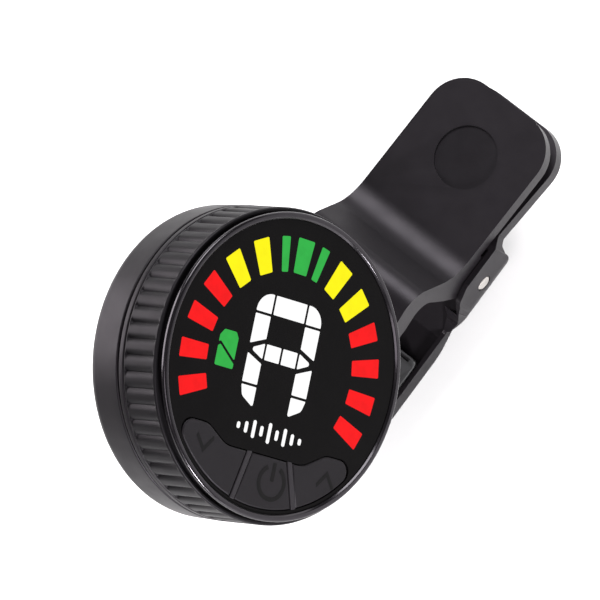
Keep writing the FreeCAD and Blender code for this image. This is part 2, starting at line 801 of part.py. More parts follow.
KEYS = {
    "key_down": (75, DIVIDERS[0], (33.5, 13.1)),
    "key_power": (DIVIDERS[0], DIVIDERS[1], (-8.5, 12.6)),
    "key_up": (DIVIDERS[1], -75, (-43.5, 13.1)),
}


def make_key(name, first, second, plunger):
    """A key cap with a hidden flange behind the lens and a plunger over its switch."""
    shrink = -dim("key_clearance")
    back, front = dim("lens_back") - 0.05, dim("lens_front") + 0.05
    cap = key_field(shrink, back, front).common(sector(first, second, back - 1, front + 1))
    flange = key_field(0.3, back - 0.3, back).common(sector(first, second, back - 1, front + 1))
    flange = flange.common(Part.makeCylinder(dim("key_radius") + shrink, 2, V(0, 0, back - 1)))
    key = cap.fuse(flange)
    for angle in DIVIDERS:
        key = key.cut(ridge_wall(angle, RIDGE_HALF + dim("key_clearance"), back - 2, front + 1))
    foot = V(*key_centre(*plunger), dim("board_front") + 0.7 + dim("key_travel") + 0.05)
    key = key.fuse(Part.makeCylinder(0.8, back - foot.z, foot)).removeSplitter()
    key = crown(key, front)
    made = doc.addObject("Part::Feature", name)
    made.Label = name
    made.Shape = key
    made.Placement = HEAD
    return made


def crown(key, front):
    """Breaks the front edges of a key."""
    edges = [edge for edge in key.Edges if edge.BoundBox.ZMin > front - 1e-4]
    return key.makeFillet(0.18, edges)


def make_key_ridges():
    """Two fixed ridges between the keys, standing on the circuit board."""
    low, front = dim("board_front"), dim("lens_front") + 0.1
    step = dim("baffle_back") + 0.05
    foot = Part.makeCylinder(dim("wall_inner") - 0.3, step - low, V(0, 0, low))
    field = key_field(0.0, step, front).fuse(key_field(0.0, low, step).common(foot))
    shape = None
    for angle in DIVIDERS:
        wall = ridge_wall(angle, RIDGE_HALF, low, front).common(field)
        shape = wall if shape is None else shape.fuse(wall)
    made = doc.addObject("Part::Feature", "key_ridges")
    made.Label = "key_ridges"
    made.Shape = shape
    made.Placement = HEAD
    return made


# ---------------------------------------------------------------- head, front part

SOCKET_MIDDLE = 8.05
BOSS_REACH = 13.1
BOSS_ANGLES = (176, 38, -112)


def polar(reach, degrees):
    angle = math.radians(degrees)
    return (reach * math.cos(angle), reach * math.sin(angle))


def slot_outline(half_long, half_high, middle):
    radius = half_high - 0.01
    return rounded([
        (-half_long, middle - half_high, radius), (half_long, middle - half_high, radius),
        (half_long, middle + half_high, radius), (-half_long, middle + half_high, radius),
    ])


def cut_port(owner, half_long, half_high, start, depth):
    """The round-ended opening for the charging socket through the wall on the right-hand side."""
    outline = slot_outline(half_long, half_high, SOCKET_MIDDLE)
    pocket(owner, sketch(owner, "YZ_Plane", outline, start), depth, reverse=True)


def make_display_housing():
    """The cup that carries everything at the front and runs on the hub post."""
    cup = body("display_housing")
    outer, wall, inner = dim("head_radius"), dim("wall_outer"), dim("wall_inner")
    back, land = dim("rear_band") + dim("seam"), dim("land_front")
    floor, step, top = dim("floor_front"), dim("baffle_back"), dim("lens_back")
    bore, ledge = dim("hub_radius") + 0.07, dim("ledge_radius")
    revolve(cup, rounded([
        (bore, back), (outer, back, 0.2), (outer, land, 0.15), (wall, land), (wall, top),
        (ledge, top), (ledge, step), (inner, step), (inner, floor), (bore, floor),
    ]))
    centres = [polar(BOSS_REACH, angle) for angle in BOSS_ANGLES]
    pad(cup, sketch(cup, "XY_Plane", [circle(at, 1.5) for at in centres], floor - 0.3),
        dim("board_back") - floor + 0.3)
    threads = sketch(cup, "XY_Plane", [circle(at, 0.7) for at in centres], dim("board_back"))
    pocket(cup, threads, "2.2")
    cut_port(cup, 4.6, 1.68, 12.0, "6")
    cup.Placement = HEAD
    return cup


def make_grip_ring():
    """The ribbed ring: a plain band with rounded grooves, its front end stepped round the lip."""
    grip = body("grip_ring")
    base, front = dim("land_front") + 0.05, dim("rib_front")
    outer, inner = dim("head_radius"), dim("wall_outer") + 0.02
    profile = sketch(grip, "XY_Plane", [circle((0, 0), outer), circle((0, 0), inner)], base)
    pad(grip, profile, front - base)
    pitch = 2 * math.pi * outer / dim("rib_count")
    groove = rounded([
        (outer - 0.4, -0.1 * pitch, 0.1), (outer + 0.3, -0.45 * pitch),
        (outer + 0.3, 0.45 * pitch), (outer - 0.4, 0.1 * pitch, 0.1),
    ])
    cut = sketch(grip, "XY_Plane", groove, front + 0.2)
    first = pocket(grip, cut, front - base + 0.4)
    pattern = grip.newObject("PartDesign::PolarPattern", "grip_ribs")
    pattern.Originals = [first]
    pattern.Axis = (cut, ["N_Axis"])
    pattern.Angle = 360
    pattern.setExpression("Occurrences", "dims.rib_count")
    grip.Tip = pattern
    doc.recompute()
    cut_port(grip, 4.6, 1.68, 12.0, "6")
    step = sketch(grip, "XY_Plane", [circle((0, 0), dim("lip_radius") + 0.1)], front + 0.1)
    pocket(grip, step, front - dim("groove_back") + 0.1)
    grip.Placement = HEAD
    return grip


def make_bezel():
    """The front lip round the lens, with the shadow groove behind it."""
    lip = body("bezel")
    outer, inner = dim("lip_radius"), dim("lens_radius") + 0.05
    back, groove, front = dim("lens_back") + 0.02, dim("groove_front"), dim("lip_front")
    revolve(lip, rounded([
        (inner, back), (outer - 0.35, back), (outer - 0.35, groove), (outer, groove, 0.1),
        (outer, front, 0.25), (inner + 0.2, front, 0.1), (inner, front - 0.2),
    ]))
    lip.Placement = HEAD
    return lip


def make_lens():
    """The black front plate with a hole for each lit window and for the key field."""
    lens = body("lens")
    back, front = dim("lens_back"), dim("lens_front")
    pad(lens, sketch(lens, "XY_Plane", [circle((0, 0), dim("lens_radius"))], back), front - back)
    for edges in WINDOW_SETS.values():
        pocket(lens, sketch(lens, "XY_Plane", edges(), front), "1")
    field = key_field(0.0, back, front).Edges
    outline = [flattened(edge) for edge in field if edge.BoundBox.ZMin > front - 1e-4]
    pocket(lens, sketch(lens, "XY_Plane", outline, front), "1")
    lens.Placement = HEAD
    return lens


def flattened(edge):
    """A field edge as sketch geometry at height zero."""
    first, last = edge.FirstParameter, edge.LastParameter
    start, middle, end = (edge.valueAt(at) for at in (first, (first + last) / 2, last))
    if isinstance(edge.Curve, Part.Line):
        return line((start.x, start.y), (end.x, end.y))
    return arc_through((start.x, start.y), (middle.x, middle.y), (end.x, end.y))


def make_baffle():
    """The light box behind the lens: one cell for each window, open over the keys."""
    made = body("light_baffle")
    back, front = dim("baffle_back") + 0.02, dim("lens_back")
    pad(made, sketch(made, "XY_Plane", [circle((0, 0), dim("ledge_radius") - 0.05)], back), front - back)
    for edges in WINDOW_SETS.values():
        pocket(made, sketch(made, "XY_Plane", edges(), front + 0.1), "2")
    opening = rounded([(-17, -7.0), (17, -7.0), (17, -17), (-17, -17)])
    pocket(made, sketch(made, "XY_Plane", opening, front + 0.1), "2")
    made.Placement = HEAD
    return made


def make_windows():
    """Translucent inserts moulded into the lens, one node for each colour."""
    back, front = dim("lens_back"), dim("lens_front")
    return [plate(name, edges(), back, front - back, HEAD) for name, edges in WINDOW_SETS.items()]


def make_board():
    """The round circuit board, notched for the socket and drilled for its screws."""
    board = body("main_board")
    back, front = dim("board_back"), dim("board_front")
    holes = [circle(polar(BOSS_REACH, angle), 0.8) for angle in BOSS_ANGLES]
    pad(board, sketch(board, "XY_Plane", [circle((0, 0), dim("board_radius"))] + holes, back), front - back)
    notch = rounded([(8.6, -4.7), (17, -4.7), (17, 4.7), (8.6, 4.7)])
    pocket(board, sketch(board, "XY_Plane", notch, front + 0.1), "2")
    board.Placement = HEAD
    return board


def make_board_screws():
    screws = body("board_screws")
    centres = [polar(BOSS_REACH, angle) for angle in BOSS_ANGLES]
    top = dim("board_front")
    pad(screws, sketch(screws, "XY_Plane", [circle(at, 0.7) for at in centres], top - 2.9), "2.9")
    pad(screws, sketch(screws, "XY_Plane", [circle(at, 1.0) for at in centres], top), "0.5")
    slots = []
    for x, y in centres:
        slots += rounded([(x - 0.8, y - 0.15), (x + 0.8, y - 0.15), (x + 0.8, y + 0.15),
                          (x - 0.8, y + 0.15)])
    pocket(screws, sketch(screws, "XY_Plane", slots, top + 0.5), "0.3")
    screws.Placement = HEAD
    return screws


def square(centre, half):
    x, y = centre
    return rounded([(x - half, y - half), (x + half, y - half), (x + half, y + half), (x - half, y + half)])


def make_leds():
    """One small light behind each bar and each part of the note and the charge sign."""
    places = [(0, 11.7)]
    for angle in (12.0, *YELLOW_ANGLES, *RED_ANGLES):
        for side in (-1, 1):
            turn = math.radians(side * angle)
            places.append((11.8 * math.sin(turn) + BAR_CENTRE[0], 11.8 * math.cos(turn) + BAR_CENTRE[1]))
    places += [(-3.5, 3.2), (3.5, 3.2), (0, 6.0), (-3.5, -1.2), (3.5, -1.2), (0, 0.9), (-7.6, 0)]
    edges = []
    for place in places:
        edges += square(place, 0.5)
    return plate("indicator_leds", edges, dim("board_front"), 0.45, HEAD)


def make_switches():
    """A low dome switch on the board under each key."""
    switches = body("key_switches")
    top = dim("board_front")
    centres = [key_centre(*plunger) for _, _, plunger in KEYS.values()]
    edges = []
    for centre in centres:
        edges += square(centre, 0.95)
    pad(switches, sketch(switches, "XY_Plane", edges, top), "0.45")
    pad(switches, sketch(switches, "XY_Plane", [circle(at, 0.7) for at in centres], top), "0.65")
    switches.Placement = HEAD
    return switches


def key_centre(angle, reach):
    turn = math.radians(angle)
    return (-reach * math.sin(turn), -reach * math.cos(turn))


def make_cell():
    """The rechargeable pouch cell on the housing floor."""
    cell = body("battery_cell")
    outline = rounded([(-7.5, 4.7, 0.8), (7.5, 4.7, 0.8), (7.5, 12.2, 0.8), (-7.5, 12.2, 0.8)])
    pad(cell, sketch(cell, "XY_Plane", outline, dim("floor_front")), "2.3")
    cell.Placement = HEAD
    return cell


def make_piezo():
    """The vibration sensor: a brass disc with a ceramic disc on it."""
    centre = (-7.8, -4.5)
    brass = plate("piezo_plate", [circle(centre, 4.0)], dim("floor_front"), 0.2, HEAD)
    ceramic = plate("piezo_ceramic", [circle(centre, 2.8)], dim("floor_front") + 0.2, 0.15, HEAD)
    return [brass, ceramic]


def make_socket():
    """The charging socket: an oval metal shell, its back wall and the contact tongue."""
    socket = body("usb_socket")
    mouth, depth = 15.8, 6.4
    shell = slot_outline(4.47, 1.58, SOCKET_MIDDLE) + slot_outline(4.17, 1.28, SOCKET_MIDDLE)
    pad(socket, sketch(socket, "YZ_Plane", shell, mouth - depth), str(depth))
    back = slot_outline(4.47, 1.58, SOCKET_MIDDLE)
    pad(socket, sketch(socket, "YZ_Plane", back, mouth - depth), "0.6")
    tongue = rounded([(-3.3, SOCKET_MIDDLE - 0.35), (3.3, SOCKET_MIDDLE - 0.35),
                      (3.3, SOCKET_MIDDLE + 0.35), (-3.3, SOCKET_MIDDLE + 0.35)])
    pad(socket, sketch(socket, "YZ_Plane", tongue, mouth - depth), "5.0")
    socket.Placement = HEAD
    return socket


# ---------------------------------------------------------------- assembly

def make_clip():
    opening, pad_thick = dim("jaw_opening"), dim("pad_thick")
    parts = [make_upper_lever(), make_lower_lever(), make_pivot_pin(), make_torsion_spring()]
    parts.append(make_jaw_pad("upper_jaw_pad", 0.0, pad_thick))
    parts.append(make_jaw_pad("lower_jaw_pad", -opening, -opening - pad_thick))
    return parts


def make_neck():
    washer = ring("swivel_washer", "2.3", "1.3", "1.87", "0.4", NECK)
    return [make_neck_fork(), make_swivel_screw(), washer, make_tilt_pin(), make_tilt_washers()]


def make_back():
    slip = ring("slip_ring", "13.4", "11.6", "3.6", "dims.rear_band + dims.seam - 3.65", HEAD)
    washer = ring("hub_washer", "4.2", "1.05", "dims.floor_front + 0.15", "0.4", HEAD)
    return [make_rear_shell(), slip, washer, make_hub_screw()]


def make_front():
    parts = [make_display_housing(), make_grip_ring(), make_bezel(), make_lens(), make_baffle()]
    parts += make_windows()
    parts += [make_board(), make_board_screws(), make_leds(), make_switches(), make_cell()]
    parts += make_piezo()
    parts.append(make_socket())
    parts.append(block("controller_chip", ("5", "5", "0.8"), (-2.5, -10.0, dim("board_back") - 0.8), HEAD))
    parts.append(make_key_ridges())
    parts += [make_key(name, *place) for name, place in KEYS.items()]
    return parts


def export(parts):
    """Checks every object of the document, then writes one file for each sub-part."""
    doc.recompute()
    for thing in doc.Objects:
        assert "Invalid" not in thing.State and "Error" not in thing.State, thing.Name
    os.makedirs("parts", exist_ok=True)
    for part in parts:
        shape = part.Shape
        assert not shape.isNull() and shape.isValid(), part.Label
        shape.exportStep(f"parts/{part.Label}.step")
        box = shape.BoundBox
        print(f"{part.Label:18s} solids {len(shape.Solids):2d} volume {shape.Volume:9.2f} mm3 "
              f"z {box.ZMin:7.2f} .. {box.ZMax:6.2f}")


export(make_clip() + make_neck() + make_back() + make_front())
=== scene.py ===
import json
import math

import bmesh
import bpy
from mathutils import Matrix, Vector


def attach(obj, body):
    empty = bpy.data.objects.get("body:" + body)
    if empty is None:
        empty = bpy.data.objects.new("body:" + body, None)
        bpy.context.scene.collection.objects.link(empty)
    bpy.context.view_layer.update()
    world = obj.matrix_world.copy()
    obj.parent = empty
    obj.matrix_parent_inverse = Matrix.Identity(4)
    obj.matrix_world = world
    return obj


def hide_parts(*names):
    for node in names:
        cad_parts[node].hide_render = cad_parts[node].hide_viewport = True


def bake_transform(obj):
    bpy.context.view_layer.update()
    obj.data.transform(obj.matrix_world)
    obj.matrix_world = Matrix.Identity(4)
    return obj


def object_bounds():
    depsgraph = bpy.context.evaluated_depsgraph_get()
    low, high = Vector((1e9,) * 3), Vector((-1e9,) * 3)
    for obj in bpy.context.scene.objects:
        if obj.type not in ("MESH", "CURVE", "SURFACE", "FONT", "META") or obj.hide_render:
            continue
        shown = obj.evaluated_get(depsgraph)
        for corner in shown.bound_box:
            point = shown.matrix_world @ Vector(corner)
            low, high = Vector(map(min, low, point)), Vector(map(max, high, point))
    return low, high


# The looks of a round clip on tuner.  Sizes are millimetres, turned into metres by MM where a
# mesh is made.  The head's own frame has its origin in the middle of the back face, +X to the
# display's right, +Y to its top and +Z out of its front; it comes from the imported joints.

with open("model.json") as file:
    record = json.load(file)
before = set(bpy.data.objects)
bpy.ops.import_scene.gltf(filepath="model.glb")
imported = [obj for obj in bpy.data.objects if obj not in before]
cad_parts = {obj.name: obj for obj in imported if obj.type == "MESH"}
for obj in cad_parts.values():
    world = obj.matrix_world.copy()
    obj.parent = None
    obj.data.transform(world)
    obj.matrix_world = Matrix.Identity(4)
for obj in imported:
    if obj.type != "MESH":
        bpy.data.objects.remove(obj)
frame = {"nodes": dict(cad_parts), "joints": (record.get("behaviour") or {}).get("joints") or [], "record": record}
cad_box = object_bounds()

MM = 0.001
SCENE = bpy.context.scene
NODES = frame["nodes"]
JOINTS = {joint["name"]: joint for joint in frame["joints"]}

FRONT = Vector(JOINTS["display_spin"]["axis"]).normalized()
UP = Vector(JOINTS["head_tilt"]["axis"]).normalized()
RIGHT = UP.cross(FRONT)
BACK_CENTRE = Vector(JOINTS["display_spin"]["pos_m"])
HEAD = Matrix.Translation(BACK_CENTRE) @ Matrix((RIGHT, UP, FRONT)).transposed().to_4x4()

# ---------------------------------------------------------------- sizes of the head

HEAD_RADIUS = 16.75
RIB_BACK = 6.15
RIB_FRONT = 11.33
RIB_INNER = 15.67
RIB_COUNT = 60
RIB_DEPTH = 0.26
POINTS_PER_RIB = 16
RIM_WIDTH = 0.22
RIM_EASE = 0.14
RUN_IN = 0.3
GROOVE_SHARE = 0.9
GROOVE_POWER = 2.4
STEP_RADIUS = 16.4
STEP_BACK = 10.9
LIP_RADIUS = 16.3
LIP_BACK = 11.42
GROOVE_FRONT = 11.85
LIP_FRONT = 12.4
LENS_RADIUS = 15.5
KEY_FRONT = 12.15
SIGN_SUNK = 0.02
SIGN_PROUD = 0.015
PORT_MIDDLE = 8.05
PORT_HALF_LONG = 4.6
PORT_HALF_HIGH = 1.68


# ---------------------------------------------------------------- material helpers

# the pointiness of an edge at which its wear starts, and at which it is complete
WEAR_STARTS, WEAR_FULL = 0.505, 0.56
SHINE_TINT = (0.97, 0.90, 1.0, 1.0)


class Material:
    """A node material with a principled shader and short calls for the nodes used here."""

    def __init__(self, name, **sockets):
        self.data = bpy.data.materials.new(name)
        self.data.use_nodes = True
        self.nodes = self.data.node_tree.nodes
        self.links = self.data.node_tree.links
        self.shader = self.nodes["Principled BSDF"]
        self.place = self.nodes.new("ShaderNodeTexCoord").outputs["Object"]
        for socket, number in sockets.items():
            self.shader.inputs[socket.replace("_", " ")].default_value = number

    def link(self, source, target):
        self.links.new(source, target)

    def stretched(self, x, y, z):
        """Object coordinates scaled along each axis."""
        mapping = self.nodes.new("ShaderNodeMapping")
        mapping.inputs["Scale"].default_value = (x, y, z)
        self.link(self.place, mapping.inputs["Vector"])
        return mapping.outputs["Vector"]

    def noise(self, scale, detail=3.0, roughness=0.5, place=None):
        node = self.nodes.new("ShaderNodeTexNoise")
        node.inputs["Scale"].default_value = scale
        node.inputs["Detail"].default_value = detail
        node.inputs["Roughness"].default_value = roughness
        self.link(place or self.place, node.inputs["Vector"])
        return node.outputs["Fac"]

    def cells(self, scale):
        node = self.nodes.new("ShaderNodeTexVoronoi")
        node.inputs["Scale"].default_value = scale
        self.link(self.place, node.inputs["Vector"])
        return node.outputs["Distance"]

    def ramp(self, source, stops):
        """A colour ramp through (place, colour) stops."""
        node = self.nodes.new("ShaderNodeValToRGB")
        elements = node.color_ramp.elements
        while len(elements) < len(stops):
            elements.new(0.5)
        for element, (place, colour) in zip(elements, stops):
            element.position = place
            element.color = (*colour, 1.0)
        self.link(source, node.inputs["Fac"])
        return node.outputs["Color"]

    def spread(self, source, low, high):
        """A 0..1 source mapped to a range of numbers."""
        node = self.nodes.new("ShaderNodeMapRange")
        node.inputs["From Min"].default_value = 0.3
        node.inputs["From Max"].default_value = 0.7
        node.inputs["To Min"].default_value = low
        node.inputs["To Max"].default_value = high
        self.link(source, node.inputs["Value"])
        return node.outputs["Result"]

    def mixed(self, share, first, second):
        """Two colours mixed by a share; each input is a socket, a colour or a number."""
        node = self.nodes.new("ShaderNodeMix")
        node.data_type = "RGBA"
        for socket, source in ((node.inputs[0], share), (node.inputs[6], first), (node.inputs[7], second)):
            if isinstance(source, bpy.types.NodeSocket):
                self.link(source, socket)
            elif isinstance(source, tuple):
                socket.default_value = (*source, 1.0)
            else:
                socket.default_value = source
        return node.outputs[2]

    def bump(self, height, strength, distance, base=None):
        node = self.nodes.new("ShaderNodeBump")
        node.inputs["Strength"].default_value = strength
        node.inputs["Distance"].default_value = distance
        self.link(height, node.inputs["Height"])
        if base is not None:
            self.link(base, node.inputs["Normal"])
        return node.outputs["Normal"]

    def worn_edges(self, colour, worn):
        """The colour, lighter where the surface turns sharply outwards."""
        point = self.nodes.new("ShaderNodeNewGeometry").outputs["Pointiness"]
        share = self.ramp(point, [(WEAR_STARTS, (0, 0, 0)), (WEAR_FULL, (1, 1, 1))])
        return self.mixed(share, colour, worn)

    def set(self, socket, source):
        self.link(source, self.shader.inputs[socket])


def satin_plastic(name, colour, roughness=0.40, grain=5200.0, depth=0.000012, wear=1.5, shine=0.17):
    """Moulded plastic: faint mottling, a spark eroded grain and slightly polished edges."""
    made = Material(name, Roughness=roughness, Specular_IOR_Level=shine, Specular_Tint=SHINE_TINT)
    dark = tuple(part * 0.93 for part in colour)
    light = tuple(part * 1.07 for part in colour)
    cloud = made.noise(160.0, 4.0, 0.55)
    body = made.ramp(cloud, [(0.35, dark), (0.65, light)])
    body = made.worn_edges(body, tuple(part * wear for part in colour))
    made.set("Base Color", body)
    rub = made.noise(420.0, 5.0, 0.6)
    made.set("Roughness", made.spread(rub, roughness - 0.03, roughness + 0.04))
    coarse = made.noise(grain, 2.0, 0.6)
    fine = made.noise(grain * 3.1, 1.0, 0.5)
    first = made.bump(coarse, 0.35, depth)
    made.set("Normal", made.bump(fine, 0.25, depth * 0.5, first))
    return made.data


def gloss_black(name, colour):
    """A black window plate with an antireflective finish and the faintest haze on it."""
    made = Material(name, Roughness=0.16, Specular_IOR_Level=0.03)
    haze = made.noise(210.0, 5.0, 0.62)
    made.set("Roughness", made.spread(haze, 0.14, 0.20))
    lighter = tuple(part * 1.25 for part in colour)
    made.set("Base Color", made.ramp(haze, [(0.4, colour), (0.7, lighter)]))
    made.set("Normal", made.bump(made.noise(95.0, 2.0), 0.05, 0.00002))
    return made.data


def lit_window(name, colour, mottle=0.10):
    """A dark translucent insert lit from behind, a little uneven across its face."""
    made = Material(name, Roughness=0.3, Specular_IOR_Level=0.03, Emission_Strength=1.0)
    uneven = made.noise(900.0, 3.0, 0.5)
    low = tuple(part * (1 - mottle) for part in colour)
    glow = made.ramp(uneven, [(0.3, low), (0.62, colour)])
    made.set("Emission Color", glow)
    made.set("Base Color", made.mixed(0.02, (0.003, 0.003, 0.003), glow))
    made.set("Normal", made.bump(made.cells(5200.0), 0.08, 0.00001))
    return made.data


def printed(name, colour):
    """Flat ink on plastic, with a slightly broken edge to its tone."""
    made = Material(name, Roughness=0.5, Specular_IOR_Level=0.1)
    speck = made.noise(3200.0, 2.0, 0.6)
    low = tuple(part * 0.88 for part in colour)
    made.set("Base Color", made.ramp(speck, [(0.3, low), (0.6, colour)]))
    made.set("Normal", made.bump(speck, 0.15, 0.000006))
    return made.data


def rubber(name, colour):
    """Matt moulded rubber with a dusty bloom."""
    made = Material(name, Roughness=0.82, Specular_IOR_Level=0.3, Sheen_Weight=0.15, Sheen_Roughness=0.5)
    bloom = made.noise(340.0, 5.0, 0.65)
    light = tuple(part * 1.7 for part in colour)
    body = made.ramp(bloom, [(0.38, colour), (0.72, light)])
    made.set("Base Color", made.worn_edges(body, tuple(part * 2.2 for part in colour)))
    made.set("Roughness", made.spread(bloom, 0.76, 0.92))
    made.set("Normal", made.bump(made.noise(4200.0, 3.0, 0.7), 0.5, 0.00002))
    return made.data


def steel(name, colour, roughness):
    """Drawn or turned metal: fine lines one way, a few darker spots."""
    made = Material(name, Metallic=1.0, Roughness=roughness)
    lines = made.noise(1.0, 3.0, 0.6, made.stretched(9000.0, 500.0, 9000.0))
    spots = made.noise(700.0, 4.0, 0.6)
    dark = tuple(part * 0.72 for part in colour)
    made.set("Base Color", made.ramp(spots, [(0.32, dark), (0.55, colour)]))
    made.set("Roughness", made.spread(lines, roughness - 0.08, roughness + 0.12))
    made.set("Normal", made.bump(lines, 0.3, 0.000008))
    return made.data


def circuit_green(name):
    """Solder mask with copper tracks showing faintly through it."""
    made = Material(name, Roughness=0.3, Coat_Weight=0.3, Coat_Roughness=0.15)
    brick = made.nodes.new("ShaderNodeTexBrick")
    brick.inputs["Scale"].default_value = 420.0
    brick.inputs["Mortar Size"].default_value = 0.03
    brick.inputs["Color1"].default_value = (0.008, 0.075, 0.03, 1)
    brick.inputs["Color2"].default_value = (0.010, 0.095, 0.036, 1)
    brick.inputs["Mortar"].default_value = (0.03, 0.17, 0.06, 1)
    made.link(made.place, brick.inputs["Vector"])
    made.set("Base Color", brick.outputs["Color"])
    made.set("Normal", made.bump(brick.outputs["Fac"], 0.3, 0.00002))
    return made.data


def plain_part(name, colour, roughness=0.5, metallic=0.0, scale=900.0):
    """An inner piece: one colour, mottled and finely textured."""
    made = Material(name, Roughness=roughness, Metallic=metallic)
    mottle = made.noise(scale, 4.0, 0.6)
    low = tuple(part * 0.8 for part in colour)
    made.set("Base Color", made.ramp(mottle, [(0.35, low), (0.65, colour)]))
    made.set("Roughness", made.spread(mottle, roughness - 0.08, roughness + 0.08))
    made.set("Normal", made.bump(made.noise(scale * 6, 2.0), 0.25, 0.00001))
    return made.data


CASE = (0.0042, 0.0036, 0.0043)
LOOKS = {
    "clip_plastic": satin_plastic("clip_satin", CASE),
    "neck_plastic": satin_plastic("neck_satin", CASE, 0.44, shine=0.14),
    "shell_plastic": satin_plastic("shell_satin", CASE, 0.42, shine=0.14),
    "grip_plastic": satin_plastic("grip_satin", (0.0036, 0.0033, 0.0038), 0.44, shine=0.10),
    "bezel_plastic": satin_plastic("bezel_semi_gloss", (0.0032, 0.0028, 0.0033), 0.17, depth=0.0000004,
                                   shine=0.36),
    "key_plastic": satin_plastic("key_satin", (0.0050, 0.0045, 0.0051), 0.50, grain=7000.0, wear=1.3,
                                 shine=0.14),
    "ridge_plastic": satin_plastic("ridge_satin", (0.0088, 0.0080, 0.0090), 0.46),
    "baffle_plastic": plain_part("baffle_matt", (0.012, 0.012, 0.012), 0.7),
    "pad_rubber": rubber("jaw_rubber", (0.013, 0.013, 0.014)),
    "spring_wire": steel("drawn_wire", (0.50, 0.50, 0.52), 0.30),
    "pin_steel": steel("turned_pin", (0.60, 0.57, 0.54), 0.24),
    "screw_steel": steel("plated_screw", (0.42, 0.42, 0.44), 0.28),
    "socket_steel": steel("drawn_socket", (0.46, 0.46, 0.48), 0.26),
    "washer_plastic": plain_part("washer_natural", (0.60, 0.58, 0.52), 0.42),
    "lens_black": gloss_black("lens_black_gloss", (0.0022, 0.0020, 0.0021)),
    "window_red": lit_window("window_red_lit", (0.95, 0.004, 0.006)),
    "window_yellow": lit_window("window_yellow_lit", (0.97, 0.89, 0.001), 0.06),
    "window_green": lit_window("window_green_lit", (0.028, 0.44, 0.062)),
    "window_white": lit_window("window_white_lit", (1.0, 1.0, 1.0), 0.04),
    "board_laminate": circuit_green("board_solder_mask"),
    "led_body": plain_part("led_clear", (0.80, 0.80, 0.70), 0.2),
    "switch_body": plain_part("switch_black", (0.02, 0.02, 0.022), 0.45),
    "cell_foil": plain_part("cell_foil", (0.62, 0.62, 0.64), 0.35, 0.9, 500.0),
    "piezo_brass": plain_part("piezo_brass", (0.62, 0.42, 0.13), 0.28, 1.0),
    "piezo_ceramic": plain_part("piezo_silvered", (0.72, 0.71, 0.66), 0.5),
    "chip_body": plain_part("chip_epoxy", (0.016, 0.016, 0.017), 0.55),
}
ICON_INK = printed("key_icon_ink", (0.0022, 0.0020, 0.0022))
SLOT_OF = {part["node"]: part["material_slot"] for part in frame["record"]["subparts"]}


# ---------------------------------------------------------------- mesh helpers

SHARP_ANGLE = math.radians(32)
BEVEL_ANGLE = math.radians(30)
FLAT_ANGLE = math.radians(0.4)
WELD_DISTANCE = 0.002 * MM
SMALLEST_BEVELLED_FACE = 0.25 * MM * MM


def finished(mesh):
    """Smooth shading that stays sharp over steeper edges."""
    mesh.shade_smooth()
    mesh.set_sharp_from_angle(angle=SHARP_ANGLE)
    mesh.update()
    return mesh


def add_piece(name, mesh, body, slot, material=None):
    """Links a mesh as a piece that takes a slot's material and rides on a body, unless body is None."""
    piece = bpy.data.objects.new(name, mesh)
    SCENE.collection.objects.link(piece)
    mesh.materials.clear()
    mesh.materials.append(material or LOOKS[slot])
    if body:
        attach(piece, body)
    return piece


def corner_points(corners, steps=6):
    """A closed outline of points from (x, y) or (x, y, radius) corners, arcs in even steps."""
    points = []
    for index, (x, y, *rest) in enumerate(corners):
        here = Vector((x, y))
        if not rest or rest[0] == 0:
            points.append(here)
            continue
        before = Vector(corners[index - 1][:2]) - here
        after = Vector(corners[(index + 1) % len(corners)][:2]) - here
        half = before.angle(after) / 2
        reach = rest[0] / math.tan(half)
        start = here + before.normalized() * reach
        end = here + after.normalized() * reach
        centre = here + (before.normalized() + after.normalized()).normalized() * (rest[0] / math.sin(half))
        first, last = start - centre, end - centre
        turn = first.angle_signed(last)
        for step in range(steps + 1):
            arm = first.copy()
            arm.rotate(Matrix.Rotation(-turn * step / steps, 2))
            points.append(centre + arm)
    return points


def turned_loop(made, height, count, radius_at):
    """A loop of vertices round the head's axis, its radius a function of the vertex's number."""
    loop = []
    for index in range(count):
        angle = 2 * math.pi * index / count
        radius = radius_at(index) * MM
        loop.append(made.verts.new((radius * math.cos(angle), radius * math.sin(angle), height * MM)))
    return loop


def join_loops(made, pairs):
    """A band of four-sided faces between the two loops of each pair."""
    for first, second in pairs:
        for index, vertex in enumerate(first):
            following = (index + 1) % len(first)
            made.faces.new([vertex, first[following], second[following], second[index]])


def turned_mesh(name, corners, segments):
    """A turned ring about the head's axis from a closed (radius, height) outline."""
    made = bmesh.new()
    loops = [turned_loop(made, point.y, segments, lambda index: point.x) for point in corner_points(corners)]
    join_loops(made, zip(loops, loops[1:] + loops[:1]))
    return closed_mesh(name, made, HEAD)


def closed_mesh(name, made, place):
    """The bmesh as mesh data with outward faces, moved to its place."""
    bmesh.ops.recalc_face_normals(made, faces=made.faces)
    made.transform(place)
    mesh = bpy.data.meshes.new(name)
    made.to_mesh(mesh)
    made.free()
    return finished(mesh)


def slab_mesh(name, outline, low, high, place=HEAD):
    """A flat plate with a closed outline of points."""
    made = bmesh.new()
    under, over = ([made.verts.new((point.x * MM, point.y * MM, height * MM)) for point in outline]
                   for height in (low, high))
    join_loops(made, [(under, over)])
    made.faces.new(under[::-1])
    made.faces.new(over)
    return closed_mesh(name, made, place)


